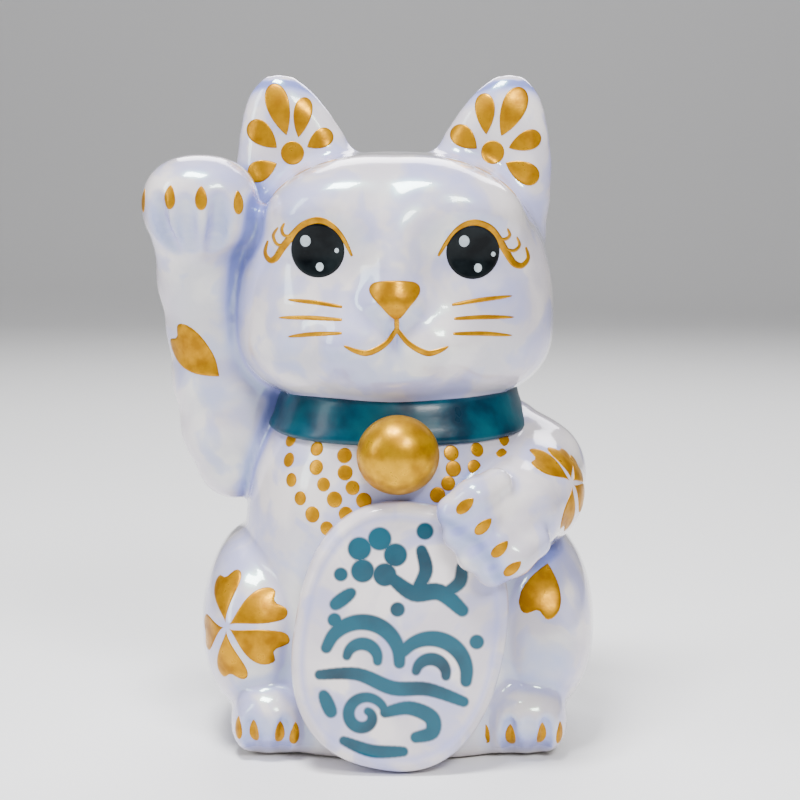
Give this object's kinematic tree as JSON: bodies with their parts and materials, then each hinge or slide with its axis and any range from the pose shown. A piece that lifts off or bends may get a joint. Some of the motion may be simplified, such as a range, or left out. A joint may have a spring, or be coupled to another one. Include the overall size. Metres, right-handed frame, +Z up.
{
  "type": "ceramic cat figurine",
  "caption": "Seated ceramic cat coin bank with one paw raised, holding an oval plaque, with collar, bell, coin slot and base stopper.",
  "frame": {"origin": "on the standing surface, under the middle of the whole outline", "axes": "+Z up, the cat looks along -Y, +X is to the viewer's right, the raised paw is on the -X side"},
  "size_m": [0.1216, 0.1014, 0.18],
  "materials": {
    "white_glaze": "glossy pearl lustre over white glaze, lavender where it pools",
    "plaque_glaze": "glossy pearl glaze with soft-edged teal brush motifs",
    "teal_glaze": "glossy deep teal",
    "gold_paint": "satin metallic gold overglaze paint",
    "eye_black": "glossy black overglaze paint",
    "stopper_rubber": "soft off-white plug"
  },
  "bodies": {
    "figurine": {"torso_shell": "white_glaze", "head_shell": "white_glaze", "left_ear": "white_glaze", "right_ear": "white_glaze", "raised_arm": "white_glaze", "lowered_arm": "white_glaze", "plaque": "plaque_glaze", "collar": "teal_glaze", "bell": "gold_paint", "left_hind_foot": "white_glaze", "right_hind_foot": "white_glaze", "tail": "white_glaze"},
    "stopper": {"base_stopper": "stopper_rubber"}
  },
  "joints": [
    {"name": "stopper_pull", "type": "slide", "parent": "figurine", "child": "stopper", "axis": [0, 0, -1], "range_m": [0, 0.03]}
  ]
}
